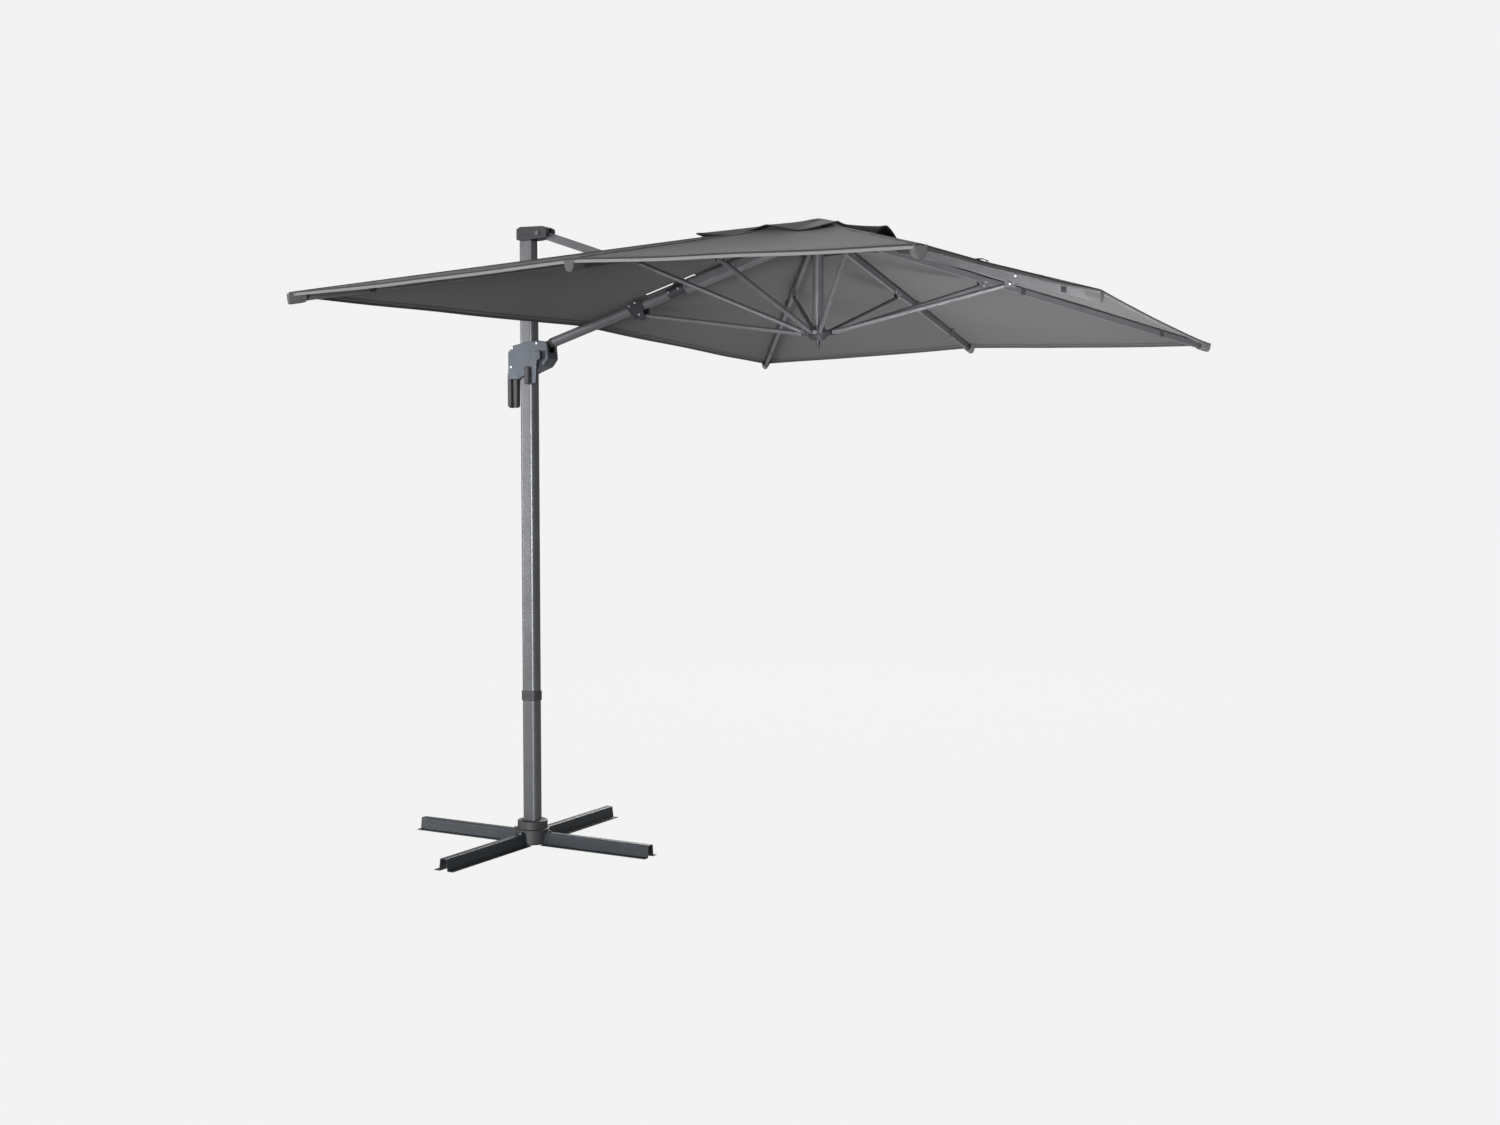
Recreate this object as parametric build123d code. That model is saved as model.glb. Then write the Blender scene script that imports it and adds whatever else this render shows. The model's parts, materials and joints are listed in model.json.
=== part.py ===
"""Cantilever parasol, 2 x 3 m, as an assembly of its real pieces.

Millimetres, +Z up. The origin is on the mast's axis at floor level. The boom reaches out along +X and the
canopy's long side runs along Y. The model stands open: arm raised, canopy spread.
"""

import os
from math import atan2, cos, degrees, hypot, radians, sin

from build123d import *

os.makedirs("parts", exist_ok=True)

# ---------------------------------------------------------------- driving dimensions
# canopy, measured in plan
CANOPY_HALF_X = 1000
CANOPY_HALF_Y = 1500
HUB_X = 1230  # the canopy's centre, measured from the mast's axis
FABRIC = 2
FABRIC_GAP = 8  # from the top of a rib's tip to the outside of the fabric
PEAK_RISE = 36  # from the rib hinges to the point where the gores' lines meet
VENT_SHARE = 0.20  # size of the hole in the canopy's middle, as a share of the canopy
VENT_CAP_SHARE = 0.26
VENT_CAP_LIFT = 10

# mast and foot
MAST_X = 62
MAST_Y = 52
MAST_CORNER = 14
MAST_WALL = 2.5
MAST_FOOT_Z = 64
MAST_JOINT_Z = 575
MAST_TOP_Z = 2318
BASE_TURN = 0  # angle of the cross to the boom, in degrees
BASE_REACH = 540
BEAM_HEIGHT = 46
BEAM_RIDGE = 30
BEAM_FLANGE = 84
BEAM_SHEET = 3

# arm linkage: two equal links between two pivots that stay on one vertical line
MAST_PIVOT = (60, 2343)
CARRIAGE_PIVOT = (60, 1915)
LINK_PIVOT_X = 676
LINK_PIVOT = (LINK_PIVOT_X, (MAST_PIVOT[1] + CARRIAGE_PIVOT[1]) / 2)
BOOM_HUB_PIVOT = (1190, 2253)
BOOM_TUBE_R = 19
BOOM_BEAM_WIDTH = 34
BOOM_BEAM_HEIGHT = 48
BOOM_STRUT_PIVOT = (512, 2014)

# canopy frame: every rib and strut swings in a plane through the hub's axis
HINGE_R = 50  # distance of the rib and strut hinges from the hub's axis
HUB_Z = 2262
RUNNER_Z = 1915
STRUT_PIVOT_R = 700
EYE_R = 6
PIN_R = 3
RUNNING_GAP = 0.1
STRUT_R = 8
STRUT_EYE = 8  # thickness of a strut's flat eye
RIB_EYE = 9

# rib name: azimuth, reach in plan, tip height, strut pivot height, width, height of the section
CORNER = degrees(atan2(CANOPY_HALF_Y, CANOPY_HALF_X))
CORNER_REACH = hypot(CANOPY_HALF_X, CANOPY_HALF_Y)
GUIDE_PIVOT_Z = (HUB_Z + RUNNER_Z) / 2  # equal links here keep the runner on the post's axis
RIBS = {
    "outer": (0, CANOPY_HALF_X, 1983, 2044, 20, 32),
    "outer_right": (CORNER, CORNER_REACH, 1936, 2120, 14, 22),
    "right": (90, CANOPY_HALF_Y, 1968, 2108, 14, 22),
    "inner_right": (180 - CORNER, CORNER_REACH, 1936, 2120, 14, 22),
    "inner_left": (180 + CORNER, CORNER_REACH, 1936, 2120, 14, 22),
    "left": (270, CANOPY_HALF_Y, 1968, GUIDE_PIVOT_Z, 14, 22),
    "outer_left": (360 - CORNER, CORNER_REACH, 1936, 2120, 14, 22),
}
INNER_EDGE_Z = 1998  # height of the canopy's inner edge, which rests on the boom


# ---------------------------------------------------------------- building blocks
def block(x0, x1, y0, y1, z0, z1):
    return Pos((x0 + x1) / 2, (y0 + y1) / 2, (z0 + z1) / 2) * Box(x1 - x0, y1 - y0, z1 - z0)


def post(x, y, r, z0, z1):
    return Pos(x, y, (z0 + z1) / 2) * Cylinder(r, z1 - z0)


def cross_pin(x, z, r, y0, y1):
    """A cylinder along Y."""
    return Pos(x, (y0 + y1) / 2, z) * Rot(90, 0, 0) * Cylinder(r, y1 - y0)


def plate(points, y0, y1, corner=0):
    """A plate in the XZ plane between y0 and y1, its corners rounded."""
    outline = Plane.XZ * make_face(Polyline(*points, close=True))
    solid = extrude(outline, amount=y1 - y0, dir=(0, 1, 0))
    solid = Pos(0, y0, 0) * solid
    if corner:
        solid = fillet(solid.edges().filter_by(Axis.Y), corner)
    return solid


def swing(shape, start, end):
    """Turns a shape built along +X so that it runs from start towards end, both (x, z)."""
    angle = degrees(atan2(end[1] - start[1], end[0] - start[0]))
    return Pos(start[0], 0, start[1]) * Rot(0, -angle, 0) * shape


def around(shape, azimuth):
    """Carries a shape from the plane y=0 at the origin to a rib's place round the hub."""
    return Pos(HUB_X, 0, 0) * Rot(0, 0, azimuth) * shape


def box_tube(x0, x1, width, height, wall):
    return block(x0, x1, -width / 2, width / 2, -height / 2, height / 2) - block(
        x0 - 1, x1 + 1, wall - width / 2, width / 2 - wall, wall - height / 2, height / 2 - wall
    )


def flat_eye(x, towards, thickness, eye_r, hole_r, length):
    """A flat tongue with a round end and a hole at x, reaching length towards +1 or -1."""
    tongue = cross_pin(x, 0, eye_r, -thickness / 2, thickness / 2)
    tongue += block(
        min(x, x + towards * length), max(x, x + towards * length),
        -thickness / 2, thickness / 2, -eye_r, eye_r,
    )
    return tongue - cross_pin(x, 0, hole_r, -thickness, thickness)


def round_bar(length, radius, eye_length):
    """A round tube with a flat eye at each end, its hinges at 0 and length."""
    hole = PIN_R + RUNNING_GAP
    bar = Pos(length / 2, 0, 0) * Rot(0, 90, 0) * Cylinder(radius, length - 2 * eye_length)
    bar -= Pos(length / 2, 0, 0) * Rot(0, 90, 0) * Cylinder(radius - 1.5, length - 4 * eye_length)
    bar += flat_eye(0, 1, STRUT_EYE, EYE_R, hole, eye_length + 4)
    return bar + flat_eye(length, -1, STRUT_EYE, EYE_R, hole, eye_length + 4)


def rounded_tube(x_size, y_size, corner, wall, z0, z1):
    outer = extrude(Plane.XY.offset(z0) * RectangleRounded(x_size, y_size, corner), z1 - z0)
    inner = extrude(
        Plane.XY.offset(z0 - 1)
        * RectangleRounded(x_size - 2 * wall, y_size - 2 * wall, corner - wall),
        z1 - z0 + 2,
    )
    return outer - inner


def rivet_heads(places, y_faces, r=4.5, rise=2):
    """Round heads on both outer faces of a pair of plates."""
    heads = []
    for x, z in places:
        heads.append(cross_pin(x, z, r, y_faces, y_faces + rise))
        heads.append(cross_pin(x, z, r, -y_faces - rise, -y_faces))
    return [fillet(head.edges(), rise * 0.45) for head in heads]


parts = {}

# ---------------------------------------------------------------- cross base
FOOT_R = 66
COLLAR_R = 58
FOOT_TOP = 58
FOOT_FLOOR = BEAM_SHEET + 1
SPIGOT_R = 21
ARM_START = FOOT_R + 1
QUARTERS = (0, 90, 180, 270)


def base_arm():
    """A pressed hat-section rail, flanges down."""
    ridge = BEAM_RIDGE / 2
    profile = make_face(
        Polyline(
            (-BEAM_FLANGE / 2, 0), (BEAM_FLANGE / 2, 0), (BEAM_FLANGE / 2, BEAM_SHEET),
            (ridge + 5, BEAM_SHEET), (ridge, BEAM_HEIGHT), (-ridge, BEAM_HEIGHT),
            (-ridge - 5, BEAM_SHEET), (-BEAM_FLANGE / 2, BEAM_SHEET), close=True,
        )
    )
    hollow = make_face(
        Polyline(
            (-ridge - 2, -1), (ridge + 2, -1), (ridge + 2, 0),
            (ridge - BEAM_SHEET, BEAM_HEIGHT - BEAM_SHEET),
            (BEAM_SHEET - ridge, BEAM_HEIGHT - BEAM_SHEET), (-ridge - 2, 0), close=True,
        )
    )
    length = BASE_REACH - ARM_START
    section = Plane.YZ.offset(ARM_START)
    rail = extrude(section * profile, length)
    rail = fillet(rail.edges().filter_by(Axis.X).group_by(Axis.Z)[-1], 5)
    rail -= extrude(Plane.YZ.offset(ARM_START - 1) * hollow, length + 2)
    return rail


parts["base_arms"] = Compound(children=[Rot(0, 0, BASE_TURN + turn) * base_arm() for turn in QUARTERS])

foot = post(0, 0, FOOT_R - 4, 0, FOOT_FLOOR + 4)
foot += post(0, 0, SPIGOT_R, FOOT_FLOOR, 330)
parts["foot_spigot"] = foot - post(0, 0, SPIGOT_R - 4, FOOT_FLOOR + 4, 331)

cover = post(0, 0, FOOT_R, FOOT_FLOOR + 4.2, FOOT_TOP)
cover = fillet(cover.edges().group_by(Axis.Z)[-1], 5)
parts["foot_cover"] = cover - post(0, 0, SPIGOT_R + 1, -1, FOOT_TOP + 1) - post(
    0, 0, FOOT_R - 5, 0, FOOT_TOP - 5
)

bolts = []
for turn in QUARTERS:
    shank = post(ARM_START + 12, 0, 4, BEAM_HEIGHT - BEAM_SHEET, BEAM_HEIGHT + 2)
    head = extrude(Plane.XY.offset(BEAM_HEIGHT) * RegularPolygon(9, 6), 7)
    head = Pos(ARM_START + 12, 0, 0) * chamfer(head.edges().group_by(Axis.Z)[-1], 1.2)
    washer = post(ARM_START + 12, 0, 11, BEAM_HEIGHT, BEAM_HEIGHT + 1.5)
    bolts.append(Rot(0, 0, BASE_TURN + turn) * (head + washer + (shank & washer)))
parts["base_bolts"] = Compound(children=bolts)

# ---------------------------------------------------------------- mast, which turns on the spigot
collar = post(0, 0, COLLAR_R, FOOT_TOP + 0.5, 90)
collar = fillet(collar.edges().group_by(Axis.Z)[-1], 6)
mast_hole = extrude(
    Plane.XY.offset(0) * RectangleRounded(MAST_X + 0.2, MAST_Y + 0.2, MAST_CORNER), 200
)
parts["swivel_collar"] = collar - mast_hole

parts["mast_lower"] = rounded_tube(MAST_X, MAST_Y, MAST_CORNER, MAST_WALL, MAST_FOOT_Z, MAST_JOINT_Z)
parts["mast_upper"] = rounded_tube(MAST_X, MAST_Y, MAST_CORNER, MAST_WALL, MAST_JOINT_Z + 1, MAST_TOP_Z)

inner_x = MAST_X - 2 * MAST_WALL - 0.2
inner_y = MAST_Y - 2 * MAST_WALL - 0.2
PLUG_CORNER = MAST_CORNER - MAST_WALL - 0.1
parts["mast_joint_sleeve"] = rounded_tube(
    inner_x, inner_y, MAST_CORNER - MAST_WALL, 3, MAST_JOINT_Z - 120, MAST_JOINT_Z + 120
)
bushes = []
for low, high in ((80, 110), (290, 320)):
    bush = extrude(Plane.XY.offset(low) * RectangleRounded(inner_x, inner_y, PLUG_CORNER), high - low)
    bushes.append(bush - post(0, 0, SPIGOT_R + 0.2, low - 1, high + 1))
parts["swivel_bushes"] = Compound(children=bushes)

ring = extrude(Plane.XY.offset(MAST_JOINT_Z - 19) * RectangleRounded(MAST_X + 7, MAST_Y + 7, 17), 38)
ring = fillet(ring.edges().group_by(Axis.Z)[-1] + ring.edges().group_by(Axis.Z)[0], 2)
ring -= extrude(
    Plane.XY.offset(MAST_JOINT_Z - 20) * RectangleRounded(MAST_X + 0.2, MAST_Y + 0.2, MAST_CORNER), 40
)
for side in (-1, 1):
    ring -= block(-40, 40, side * 29 - 1, side * 29 + 1, MAST_JOINT_Z - 3, MAST_JOINT_Z + 3)
parts["mast_joint_ring"] = ring

# head casting: a plug in the mast's top, and two cheeks that hold the upper link
HEAD_HALF = 29
HEAD_SLOT = 9
HEAD_TOP = 2372
px, pz = MAST_PIVOT
head = plate(
    [(-37, HEAD_TOP - 50), (-37, HEAD_TOP - 8), (-20, HEAD_TOP), (px + 25, HEAD_TOP - 4),
     (px + 42, HEAD_TOP - 12), (px + 42, HEAD_TOP - 44), (px - 24, HEAD_TOP - 50)],
    -HEAD_HALF, HEAD_HALF, 6,
)
head -= block(px - 26, px + 60, -HEAD_SLOT, HEAD_SLOT, HEAD_TOP - 80, HEAD_TOP - 10)
socket = mast_hole.moved(Location((0, 0, 2180)))
head -= socket & block(-40, MAST_X / 2 + 0.1, -40, 40, 2200, MAST_TOP_Z + 0.1)
head += extrude(Plane.XY.offset(MAST_TOP_Z - 60) * RectangleRounded(inner_x, inner_y, PLUG_CORNER), 64)
parts["mast_head"] = head - cross_pin(px, pz, 5.1, -60, 60)
pin = cross_pin(px, pz, 5, -HEAD_HALF - 1, HEAD_HALF + 1)
for side in (-1, 1):
    pin += cross_pin(px, pz, 9, min(side * 29.2, side * 33), max(side * 29.2, side * 33))
parts["mast_head_pin"] = pin

# ---------------------------------------------------------------- upper link
link_length = hypot(LINK_PIVOT[0] - px, LINK_PIVOT[1] - pz)
link = box_tube(36, link_length - 36, 16, 30, 2)
link += block(30, 52, -6, 6, -8, 8) + block(link_length - 52, link_length - 30, -6, 6, -8, 8)
link = fillet(link.edges().filter_by(Axis.X).filter_by(lambda e: e.length > 400), 0.8)
link += flat_eye(0, 1, 14, 8, 5.1, 44)
link += flat_eye(link_length, -1, 14, 8, 4.1, 44)
parts["upper_link"] = swing(link, MAST_PIVOT, LINK_PIVOT)

# ---------------------------------------------------------------- boom
boom_length = hypot(BOOM_HUB_PIVOT[0] - CARRIAGE_PIVOT[0], BOOM_HUB_PIVOT[1] - CARRIAGE_PIVOT[1])
boom_slope = atan2(BOOM_HUB_PIVOT[1] - CARRIAGE_PIVOT[1], BOOM_HUB_PIVOT[0] - CARRIAGE_PIVOT[0])


def on_boom(point):
    """A point (x, z) in the boom's own axes: along it from the carriage pivot, and above its axis."""
    dx = point[0] - CARRIAGE_PIVOT[0]
    dz = point[1] - CARRIAGE_PIVOT[1]
    return (dx * cos(boom_slope) + dz * sin(boom_slope), dz * cos(boom_slope) - dx * sin(boom_slope))


link_at, link_up = on_boom(LINK_PIVOT)
strut_at, strut_up = on_boom(BOOM_STRUT_PIVOT)
JOINT_AT = link_at + 15  # where the round tube meets the deeper outer beam
BOOM_EYE = 16
BOOM_EYE_R = 13
END_AT = boom_length - 78


def in_boom(shape):
    return swing(shape, CARRIAGE_PIVOT, BOOM_HUB_PIVOT)


tube = Pos((60 + JOINT_AT - 5) / 2, 0, 0) * Rot(0, 90, 0) * Cylinder(BOOM_TUBE_R, JOINT_AT - 65)
tube -= Pos(JOINT_AT / 2, 0, 0) * Rot(0, 90, 0) * Cylinder(BOOM_TUBE_R - 2, JOINT_AT)
parts["boom_tube"] = in_boom(tube)

beam = extrude(
    Plane.YZ.offset(JOINT_AT) * RectangleRounded(BOOM_BEAM_WIDTH, BOOM_BEAM_HEIGHT, 13), END_AT - JOINT_AT
)
beam -= extrude(
    Plane.YZ.offset(JOINT_AT - 1) * RectangleRounded(BOOM_BEAM_WIDTH - 5, BOOM_BEAM_HEIGHT - 5, 10.5),
    END_AT - JOINT_AT + 2,
)
parts["boom_beam"] = in_boom(beam)

spigot = Pos(50, 0, 0) * Rot(0, 90, 0) * Cylinder(BOOM_TUBE_R - 2.1, 60)
spigot += Pos(53, 0, 0) * Rot(0, 90, 0) * Cylinder(BOOM_TUBE_R, 13.8)
spigot = spigot & block(46, 90, -30, 30, -30, 30)
spigot += flat_eye(0, 1, BOOM_EYE, BOOM_EYE_R, 6.1, 50)
parts["boom_root_eye"] = in_boom(spigot)

core = Pos(JOINT_AT - 51, 0, 0) * Rot(0, 90, 0) * Cylinder(BOOM_TUBE_R - 2.1, 102)
core += extrude(Plane.YZ.offset(JOINT_AT) * RectangleRounded(28.6, 42.6, 10), 60)
parts["boom_joint_core"] = in_boom(core)

tip = extrude(
    Plane.YZ.offset(END_AT - 60) * RectangleRounded(BOOM_BEAM_WIDTH - 5.4, BOOM_BEAM_HEIGHT - 5.4, 10), 62
)
tip += extrude(Plane.YZ.offset(END_AT + 0.1) * RectangleRounded(BOOM_BEAM_WIDTH, BOOM_BEAM_HEIGHT, 13), 8)
tip += flat_eye(boom_length, -1, 14, 8, PIN_R + RUNNING_GAP, 72)
parts["boom_tip_eye"] = in_boom(tip)

# saddle that carries the upper link's pin: a sleeve round the tube, open on top between two cheeks
saddle = Pos(link_at - 22, 0, 0) * Rot(0, 90, 0) * Cylinder(BOOM_TUBE_R + 3, 70)
saddle -= Pos(link_at - 22, 0, 0) * Rot(0, 90, 0) * Cylinder(BOOM_TUBE_R + 0.05, 80)
saddle -= block(link_at - 62, link_at + 20, -7.6, 7.6, 0, 40)
for side in (-1, 1):
    cheek = plate(
        [(link_at - 40, 12), (link_at - 16, link_up + 11), (link_at + 11, link_up + 11), (link_at + 11, 12)],
        min(side * 7.6, side * 11), max(side * 7.6, side * 11), 4,
    )
    cheek -= Pos(link_at - 22, 0, 0) * Rot(0, 90, 0) * Cylinder(BOOM_TUBE_R + 0.05, 80)
    saddle += cheek
parts["boom_saddle"] = in_boom(saddle - cross_pin(link_at, link_up, 4.1, -20, 20))
saddle_pin = cross_pin(link_at, link_up, 4, -11.3, 11.3)
for side in (-1, 1):
    saddle_pin += cross_pin(link_at, link_up, 7, min(side * 11.2, side * 14), max(side * 11.2, side * 14))

# six-sided clamp plates either side of the tube, which hold the boom's own canopy strut underneath
clamp = []
for side in (-1, 1):
    y0, y1 = sorted((side * (BOOM_TUBE_R + 0.1), side * (BOOM_TUBE_R + 4)))
    cheek = plate(
        [(strut_at - 44, 4), (strut_at - 34, 18), (strut_at - 4, 23), (strut_at + 22, 8),
         (strut_at + 20, strut_up - 8), (strut_at + 8, strut_up - 16), (strut_at - 26, strut_up - 12)],
        y0, y1, 5,
    )
    lug_ends = sorted((side * (STRUT_EYE / 2 + 0.3), side * (BOOM_TUBE_R + 0.1)))
    lug = cross_pin(strut_at, strut_up, 10, *lug_ends)
    clamp.append(cheek + lug)
clamp_pin = cross_pin(strut_at, strut_up, PIN_R, -BOOM_TUBE_R - 4, BOOM_TUBE_R + 4)
parts["boom_clamp"] = in_boom(clamp[0] + clamp[1] + clamp_pin)
heads = rivet_heads([(strut_at, strut_up), (strut_at - 34, 9), (strut_at - 8, 14)], BOOM_TUBE_R + 4)
heads += rivet_heads([(link_at - 50, 0), (link_at - 8, 0)], BOOM_TUBE_R + 3)
parts["boom_fasteners"] = in_boom(Compound(children=[saddle_pin] + heads))

# ---------------------------------------------------------------- carriage, which slides on the mast
SHELL_HALF = 34
SHELL_WALL = 3
cx, cz = CARRIAGE_PIVOT
CRANK_X = 70
CRANK_Z = cz - 33
outline = [
    (-78, cz - 120), (-78, cz - 18), (-54, cz + 8), (-8, cz + 16), (58, cz + 24), (104, cz + 16),
    (110, cz - 48), (86, cz - 76), (34, cz - 94), (-30, cz - 122),
]
inset = [
    (-75, cz - 117), (-75, cz - 19.3), (-52.6, cz + 5), (-7, cz + 13), (58, cz + 21), (101, cz + 13.3),
    (107, cz - 47), (84, cz - 73.4), (33, cz - 91), (-31, cz - 119),
]
mast_passage = extrude(
    Plane.XY.offset(cz - 200) * RectangleRounded(MAST_X + 1, MAST_Y + 1, MAST_CORNER), 400
)
boom_sweep = block(cx - 26, cx + 80, -BOOM_TUBE_R - 1.5, BOOM_TUBE_R + 1.5, cz - 24, cz + 60)
for name, side in (("left", -1), ("right", 1)):
    shell = plate(outline, *sorted((side * 0.1, side * SHELL_HALF)), 9)
    rim = shell.faces().sort_by(Axis.Y)[0 if side < 0 else -1].edges()
    shell = fillet(rim, 3)
    shell -= plate(inset, *sorted((side * -1, side * (SHELL_HALF - SHELL_WALL))), 6)
    shell -= mast_passage + boom_sweep
    shell -= block(-100, -40, -14, 14, cz - 130, cz - 86)
    shell -= block(-100, -70, -13.2, 13.2, cz - 88.2, cz - 59.8)
    if side < 0:
        shell -= cross_pin(CRANK_X, CRANK_Z, 10.2, -60, 0)
    parts[f"carriage_shell_{name}"] = shell

slider = block(-42, 42, -30.5, 30.5, cz - 84, cz + 6) - mast_passage
slider = slider - block(32, 60, -BOOM_TUBE_R - 2, BOOM_TUBE_R + 2, cz - 26, cz + 40)
for side in (-1, 1):
    y0, y1 = sorted((side * (BOOM_EYE / 2 + 0.3), side * 20))
    ear = block(41, cx, y0, y1, cz - 34, cz + 12) + cross_pin(cx, cz, 14, y0, y1)
    ear += block(33, 42, *sorted((side * 8.3, side * 30.5)), cz - 40, cz - 26.2)
    slider += ear - mast_passage
parts["carriage_slider"] = slider - cross_pin(cx, cz, 6.05, -40, 40)

# crank: shaft and cord drum inside the shell, arm and folding grip outside
DRUM_HALF = 7.5
shaft = cross_pin(CRANK_X, CRANK_Z, 6, -40, 24)
shaft += cross_pin(CRANK_X, CRANK_Z, 10, -38, -26)
parts["crank_shaft"] = shaft
drum = cross_pin(CRANK_X, CRANK_Z, 11, -DRUM_HALF, DRUM_HALF)
for y in (-DRUM_HALF, DRUM_HALF - 2):
    drum += cross_pin(CRANK_X, CRANK_Z, 17, y, y + 2)
parts["cord_drum"] = drum - cross_pin(CRANK_X, CRANK_Z, 6, -30, 30)
ARM_LENGTH = 108
ARM_Y = (-50, -40)
arm = plate(
    [(CRANK_X - 18, CRANK_Z + 16), (CRANK_X + 12, CRANK_Z + 16), (CRANK_X + 15, CRANK_Z - 14),
     (CRANK_X - 2, CRANK_Z - 24), (CRANK_X - 8, CRANK_Z - ARM_LENGTH), (CRANK_X - 28, CRANK_Z - ARM_LENGTH),
     (CRANK_X - 32, CRANK_Z - 20)],
    *ARM_Y, 5,
)
arm = fillet(arm.faces().sort_by(Axis.Y)[0].edges(), 3)
grip_x = CRANK_X - 42
grip_top = CRANK_Z - 44
hinge_z = CRANK_Z - ARM_LENGTH + 18
parts["crank_arm"] = arm + block(grip_x + 12.2, CRANK_X - 20, -49, -43, hinge_z - 5, hinge_z + 5)
grip = post(grip_x, -52, 12, grip_top - 66, grip_top)
grip = fillet(grip.edges(), 3)
for drop in (48, 58):
    grip -= post(grip_x, -52, 14, grip_top - drop - 3, grip_top - drop) - post(grip_x, -52, 10.5, 0, 3000)
parts["crank_grip"] = grip

# handle: a fixed grip down from the shell's back, and the release lever in front of it
HANDLE_LOW = cz - 228
handle = plate(
    [(-98, cz - 104), (-98, HANDLE_LOW + 8), (-90, HANDLE_LOW), (-80, HANDLE_LOW - 2), (-79, cz - 110),
     (-79, cz - 60), (-90, cz - 66)],
    -13, 13, 5,
)
handle = fillet(handle.edges().filter_by(Axis.Z), 5)
handle += block(-84, -52, -13, 13, cz - 86, cz - 62)
parts["handle_grip"] = handle
LEVER_PIVOT = (-60, cz - 96)
lx, lz = LEVER_PIVOT
lever = plate(
    [(lx - 12, lz + 4), (lx + 4, lz + 6), (lx + 8, lz - 8), (lx + 6, HANDLE_LOW + 4),
     (lx - 8, HANDLE_LOW - 2), (lx - 10, lz - 30)],
    -11, 11, 3,
)
lever -= cross_pin(lx, lz, PIN_R + RUNNING_GAP, -20, 20)
parts["release_lever"] = lever

pins = [cross_pin(cx, cz, 6, -30, 30), cross_pin(lx, lz, PIN_R, -30.5, 30.5)]
screws = []
for x, z in ((-56, cz - 2), (58, cz + 12), (-62, cz - 74)):
    for side in (-1, 1):
        dome = cross_pin(x, z, 5, *sorted((side * SHELL_HALF, side * (SHELL_HALF + 2.2))))
        screws.append(fillet(dome.edges(), 0.9))
parts["carriage_fasteners"] = Compound(children=pins + screws)

# ---------------------------------------------------------------- canopy hub, post and runner
POST_R = 19
HUB_R = 62
NOTCH_GAP = 0.4


def notch(azimuth, width, z0, z1, core_r):
    return around(block(core_r, 120, -width / 2, width / 2, z0, z1), azimuth)


HUB_HALF = 16
hub = post(HUB_X, 0, HUB_R, HUB_Z - HUB_HALF, HUB_Z + 12)
hub = fillet(hub.edges().group_by(Axis.Z)[-1], 4)
for name, (azimuth, reach, tip_z, pivot_z, width, height) in RIBS.items():
    hub -= notch(azimuth, RIB_EYE + 2 * NOTCH_GAP, HUB_Z - 30, HUB_Z + 8, HINGE_R - 12)
hub -= block(HUB_X - 120, HUB_X - 30, -7.4, 7.4, HUB_Z - 30, HUB_Z + 8)
hub -= post(HUB_X, 0, POST_R - 4, HUB_Z - 60, HUB_Z + 6)
parts["top_hub"] = hub + post(HUB_X, 0, 30, HUB_Z + 11, HUB_Z + PEAK_RISE + VENT_CAP_LIFT - FABRIC - 11)

pins = [around(cross_pin(HINGE_R, HUB_Z, PIN_R, -RIB_EYE / 2, RIB_EYE / 2), a[0]) for a in RIBS.values()]
pins.append(cross_pin(BOOM_HUB_PIVOT[0], BOOM_HUB_PIVOT[1], PIN_R, -7, 7))
parts["hub_hinge_pins"] = Compound(children=pins)

POST_LOW = RUNNER_Z + 26
stem = post(HUB_X, 0, POST_R, POST_LOW, HUB_Z - HUB_HALF - 0.1) - post(
    HUB_X, 0, POST_R - 2.5, POST_LOW - 1, HUB_Z
)
parts["hub_post"] = stem

runner = post(HUB_X, 0, 57, RUNNER_Z - 9, RUNNER_Z + 8)
runner = fillet(runner.edges(), 3)
runner += post(HUB_X, 0, 24, RUNNER_Z - 9, POST_LOW - 1)
for azimuth in [rib[0] for rib in RIBS.values()] + [180]:
    depth = 26 if azimuth in (0, 180) else HINGE_R - 8
    runner -= notch(azimuth, STRUT_EYE + 2 * NOTCH_GAP, RUNNER_Z - 60, RUNNER_Z + 40, depth)
parts["runner"] = runner
dish = Solid.make_cone(38, 24, 16).locate(Location((HUB_X, 0, RUNNER_Z - 9.2), (180, 0, 0)))
for azimuth in (0, 180):
    dish -= notch(azimuth, STRUT_EYE + 2 * NOTCH_GAP, RUNNER_Z - 60, RUNNER_Z + 40, 26)
dish += post(HUB_X, 0, 7, RUNNER_Z - 44, RUNNER_Z - 25)
dish += post(HUB_X, 0, 5, RUNNER_Z - 58, RUNNER_Z - 44)
parts["runner_dish"] = dish

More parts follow.
